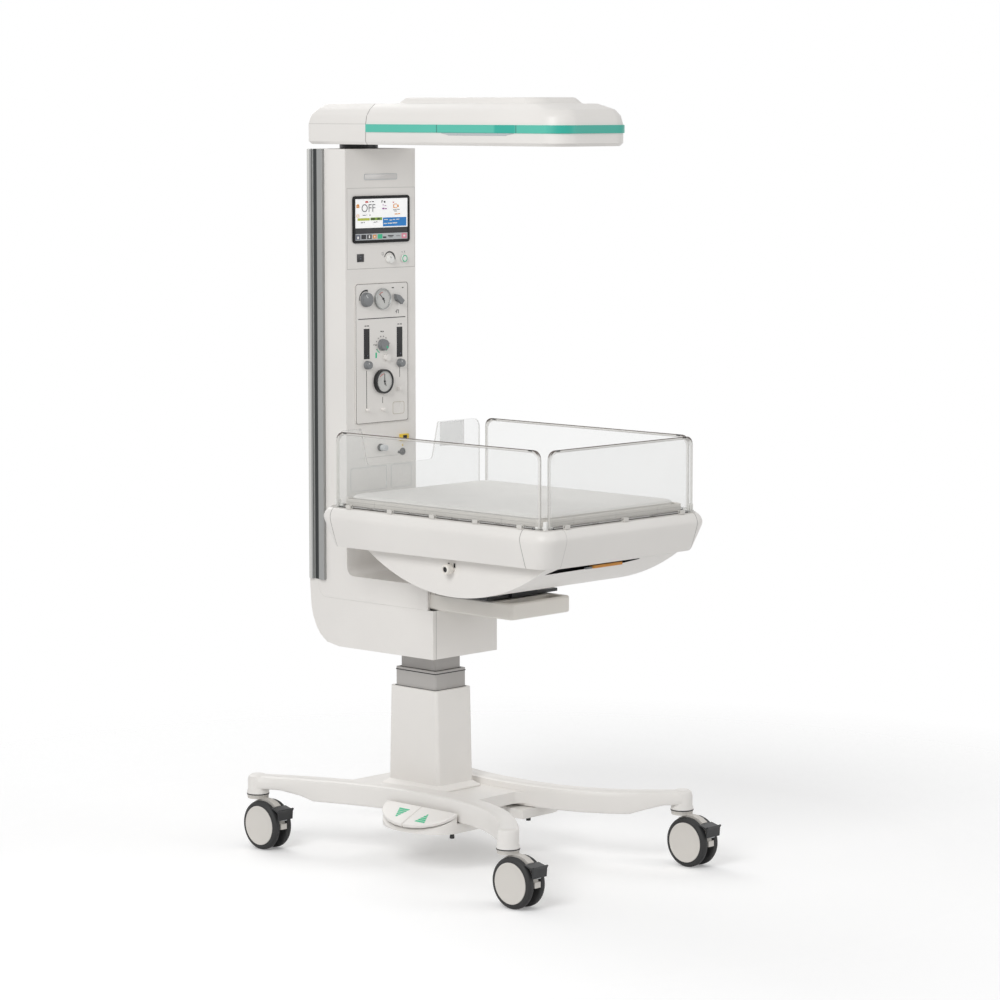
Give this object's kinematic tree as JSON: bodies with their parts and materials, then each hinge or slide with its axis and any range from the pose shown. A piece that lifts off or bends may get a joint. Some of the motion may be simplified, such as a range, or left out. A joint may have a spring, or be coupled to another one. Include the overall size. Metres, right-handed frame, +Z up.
{
  "type": "infant radiant warmer",
  "caption": "Open infant care bed with clear folding panels under a swivelling radiant heater, on a telescopic lift column with a caster base and a control column.",
  "frame": {"origin": "centre of the footprint on the floor", "axes": "+Z up, the foot end of the bed towards -Y, the control column towards +Y, +X to the right when facing the column"},
  "size_m": [0.693, 1.058, 1.906],
  "materials": {
    "enamel": "satin powder coat",
    "white_plastic": "satin",
    "light_grey_plastic": "fine texture",
    "mid_grey_plastic": "satin",
    "black_plastic": "satin",
    "beige_plastic": "satin",
    "green_plastic": "satin",
    "orange_plastic": "satin",
    "tyre": "matte",
    "steel": "zinc plated",
    "aluminium": "anodised",
    "quartz": "quartz glass tube",
    "mattress_cover": "wipe-clean cover",
    "clear_acrylic": "clear"
  },
  "bodies": {
    "base": {"base_frame": "enamel", "lift_cover": "white_plastic", "lift_actuator": "steel", "foot_switch_left": "light_grey_plastic", "foot_switch_right": "light_grey_plastic"},
    "lift_middle": {"lift_middle_tube": "light_grey_plastic"},
    "upper": {"lift_inner_tube": "light_grey_plastic", "chassis_frame": "steel", "lower_housing": "white_plastic", "column_casing": "white_plastic", "rear_cover": "white_plastic", "rear_grip": "beige_plastic", "accessory_rail_left": "aluminium", "accessory_rail_right": "aluminium", "bed_arm": "white_plastic", "cradle_plate": "black_plastic", "touch_display": "black_plastic", "gas_panel": "white_plastic", "suction_gauge": "black_plastic", "pressure_gauge": "black_plastic", "canopy_pivot": "black_plastic"},
    "canopy": {"canopy_cap": "white_plastic", "canopy_hood": "white_plastic", "canopy_stripe": "green_plastic", "heater_grille": "white_plastic", "heater_element": "quartz"},
    "bed": {"belly_tub": "white_plastic", "bed_skirt": "white_plastic", "mattress_tray": "white_plastic", "mattress": "mattress_cover", "panel_clips": "light_grey_plastic"},
    "tilt_lever_pivot": {"tilt_lever": "orange_plastic"},
    "side_lock": {"side_lock_knob": "light_grey_plastic"},
    "panel_left_hinge": {"panel_left": "clear_acrylic"},
    "panel_right_hinge": {"panel_right": "clear_acrylic"},
    "panel_foot_hinge": {"panel_foot": "clear_acrylic"},
    "panel_head_lift": {"panel_head": "clear_acrylic"},
    "volume_knob_turn": {"volume_knob": "white_plastic"},
    "suction_knob_turn": {"suction_knob": "mid_grey_plastic"},
    "gas_toggle_turn": {"gas_toggle": "mid_grey_plastic"},
    "blender_knob_turn": {"blender_knob": "mid_grey_plastic"},
    "flow_knob_left_turn": {"flow_knob_left": "mid_grey_plastic"},
    "flow_knob_right_turn": {"flow_knob_right": "mid_grey_plastic"},
    "power_button_travel": {"power_button": "green_plastic"},
    "caster_front_left": {"caster_front_left_housing": "light_grey_plastic"},
    "caster_front_left_axle": {"caster_front_left_wheels": "tyre"},
    "caster_front_left_pedal": {"caster_front_left_brake": "black_plastic"},
    "caster_front_right": {"caster_front_right_housing": "light_grey_plastic"},
    "caster_front_right_axle": {"caster_front_right_wheels": "tyre"},
    "caster_front_right_pedal": {"caster_front_right_brake": "black_plastic"},
    "caster_rear_left": {"caster_rear_left_housing": "light_grey_plastic"},
    "caster_rear_left_axle": {"caster_rear_left_wheels": "tyre"},
    "caster_rear_left_pedal": {"caster_rear_left_brake": "black_plastic"},
    "caster_rear_right": {"caster_rear_right_housing": "light_grey_plastic"},
    "caster_rear_right_axle": {"caster_rear_right_wheels": "tyre"},
    "caster_rear_right_pedal": {"caster_rear_right_brake": "black_plastic"},
    "pedal_left_raise": {"foot_pedal_left_raise": "light_grey_plastic"},
    "pedal_left_lower": {"foot_pedal_left_lower": "light_grey_plastic"},
    "pedal_right_raise": {"foot_pedal_right_raise": "light_grey_plastic"},
    "pedal_right_lower": {"foot_pedal_right_lower": "light_grey_plastic"}
  },
  "joints": [
    {"name": "lift_slide", "type": "slide", "parent": "base", "child": "upper", "axis": [0, 0, 1], "range_m": [-0.05, 0.15]},
    {"name": "lift_middle_slide", "type": "slide", "parent": "base", "child": "lift_middle", "axis": [0, 0, 1], "range_m": [-0.025, 0.075]},
    {"name": "canopy_swivel", "type": "hinge", "parent": "upper", "child": "canopy", "pos_m": [0, 0.4045, 1.7895], "axis": [0, 0, 1], "range_deg": [-90, 90]},
    {"name": "bed_tilt", "type": "hinge", "parent": "upper", "child": "bed", "pos_m": [0, -0.1615, 0.775], "axis": [1, 0, 0], "range_deg": [-10, 10]},
    {"name": "panel_left_hinge", "type": "hinge", "parent": "bed", "child": "panel_left_hinge", "pos_m": [-0.277, 0.1505, 0.9025], "axis": [0, -1, 0], "range_deg": [0, 160]},
    {"name": "panel_right_hinge", "type": "hinge", "parent": "bed", "child": "panel_right_hinge", "pos_m": [0.277, 0.1505, 0.9025], "axis": [0, 1, 0], "range_deg": [0, 160]},
    {"name": "panel_foot_hinge", "type": "hinge", "parent": "bed", "child": "panel_foot_hinge", "pos_m": [0, -0.507, 0.9025], "axis": [1, 0, 0], "range_deg": [0, 160]},
    {"name": "panel_head_lift", "type": "slide", "parent": "bed", "child": "panel_head_lift", "axis": [0, 0, 1], "range_m": [0, 0.03]},
    {"name": "tilt_lever_pivot", "type": "hinge", "parent": "bed", "child": "tilt_lever_pivot", "pos_m": [0.045, -0.4275, 0.7875], "axis": [0, 0, -1], "range_deg": [0, 8], "stiffness_Nm_per_rad": 0.8, "springref_deg": -8.59},
    {"name": "side_lock_turn", "type": "hinge", "parent": "bed", "child": "side_lock", "pos_m": [-0.24, -0.1595, 0.774], "axis": [-1, 0, 0], "range_deg": [0, 90]},
    {"name": "volume_knob_turn", "type": "hinge", "parent": "upper", "child": "volume_knob_turn", "pos_m": [0.03, 0.326, 1.498], "axis": [0, -1, 0], "range_deg": [-135, 135]},
    {"name": "suction_knob_turn", "type": "hinge", "parent": "upper", "child": "suction_knob_turn", "pos_m": [-0.0575, 0.3227, 1.398], "axis": [0, -1, 0], "range_deg": [0, 300]},
    {"name": "gas_toggle_turn", "type": "hinge", "parent": "upper", "child": "gas_toggle_turn", "pos_m": [0.052, 0.3227, 1.398], "axis": [0, -1, 0], "range_deg": [-30, 30]},
    {"name": "blender_knob_turn", "type": "hinge", "parent": "upper", "child": "blender_knob_turn", "pos_m": [0, 0.3227, 1.281], "axis": [0, -1, 0], "range_deg": [0, 270]},
    {"name": "flow_knob_left_turn", "type": "hinge", "parent": "upper", "child": "flow_knob_left_turn", "pos_m": [-0.0545, 0.3227, 1.232], "axis": [0, -1, 0], "range_deg": [0, 300]},
    {"name": "flow_knob_right_turn", "type": "hinge", "parent": "upper", "child": "flow_knob_right_turn", "pos_m": [0.0625, 0.3227, 1.232], "axis": [0, -1, 0], "range_deg": [0, 300]},
    {"name": "power_button_travel", "type": "slide", "parent": "upper", "child": "power_button_travel", "axis": [0, 1, 0], "range_m": [0, 0.002], "stiffness_N_per_m": 800, "springref_m": -0.002},
    {"name": "caster_front_left_swivel", "type": "hinge", "parent": "base", "child": "caster_front_left", "pos_m": [-0.3155, -0.421, 0.1377], "axis": [0, 0, 1], "continuous": true},
    {"name": "caster_front_left_roll", "type": "hinge", "parent": "caster_front_left", "child": "caster_front_left_axle", "pos_m": [-0.3155, -0.4555, 0.0625], "axis": [1, 0, 0], "continuous": true},
    {"name": "caster_front_left_brake_press", "type": "hinge", "parent": "caster_front_left", "child": "caster_front_left_pedal", "pos_m": [-0.3155, -0.4965, 0.1105], "axis": [1, 0, 0], "range_deg": [0, 8]},
    {"name": "caster_front_right_swivel", "type": "hinge", "parent": "base", "child": "caster_front_right", "pos_m": [0.3155, -0.421, 0.1377], "axis": [0, 0, 1], "continuous": true},
    {"name": "caster_front_right_roll", "type": "hinge", "parent": "caster_front_right", "child": "caster_front_right_axle", "pos_m": [0.3155, -0.4555, 0.0625], "axis": [1, 0, 0], "continuous": true},
    {"name": "caster_front_right_brake_press", "type": "hinge", "parent": "caster_front_right", "child": "caster_front_right_pedal", "pos_m": [0.3155, -0.4965, 0.1105], "axis": [1, 0, 0], "range_deg": [0, 8]},
    {"name": "caster_rear_left_swivel", "type": "hinge", "parent": "base", "child": "caster_rear_left", "pos_m": [-0.279, 0.497, 0.1377], "axis": [0, 0, 1], "continuous": true},
    {"name": "caster_rear_left_roll", "type": "hinge", "parent": "caster_rear_left", "child": "caster_rear_left_axle", "pos_m": [-0.279, 0.4625, 0.0625], "axis": [1, 0, 0], "continuous": true},
    {"name": "caster_rear_left_brake_press", "type": "hinge", "parent": "caster_rear_left", "child": "caster_rear_left_pedal", "pos_m": [-0.279, 0.4215, 0.1105], "axis": [1, 0, 0], "range_deg": [0, 8]},
    {"name": "caster_rear_right_swivel", "type": "hinge", "parent": "base", "child": "caster_rear_right", "pos_m": [0.279, 0.497, 0.1377], "axis": [0, 0, 1], "continuous": true},
    {"name": "caster_rear_right_roll", "type": "hinge", "parent": "caster_rear_right", "child": "caster_rear_right_axle", "pos_m": [0.279, 0.4625, 0.0625], "axis": [1, 0, 0], "continuous": true},
    {"name": "caster_rear_right_brake_press", "type": "hinge", "parent": "caster_rear_right", "child": "caster_rear_right_pedal", "pos_m": [0.279, 0.4215, 0.1105], "axis": [1, 0, 0], "range_deg": [0, 8]},
    {"name": "pedal_left_raise_press", "type": "hinge", "parent": "base", "child": "pedal_left_raise", "pos_m": [-0.173, 0.0075, 0.153], "axis": [0, -1, 0], "range_deg": [0, 3], "stiffness_Nm_per_rad": 6, "springref_deg": -5.73},
    {"name": "pedal_left_lower_press", "type": "hinge", "parent": "base", "child": "pedal_left_lower", "pos_m": [-0.173, 0.0075, 0.153], "axis": [0, -1, 0], "range_deg": [0, 3], "stiffness_Nm_per_rad": 6, "springref_deg": -5.73},
    {"name": "pedal_right_raise_press", "type": "hinge", "parent": "base", "child": "pedal_right_raise", "pos_m": [0.173, 0.0075, 0.153], "axis": [0, 1, 0], "range_deg": [0, 3], "stiffness_Nm_per_rad": 6, "springref_deg": -5.73},
    {"name": "pedal_right_lower_press", "type": "hinge", "parent": "base", "child": "pedal_right_lower", "pos_m": [0.173, 0.0075, 0.153], "axis": [0, 1, 0], "range_deg": [0, 3], "stiffness_Nm_per_rad": 6, "springref_deg": -5.73}
  ],
  "couplings": [
    {"joint": "lift_middle_slide", "follows": "lift_slide", "ratio": 0.5}
  ]
}
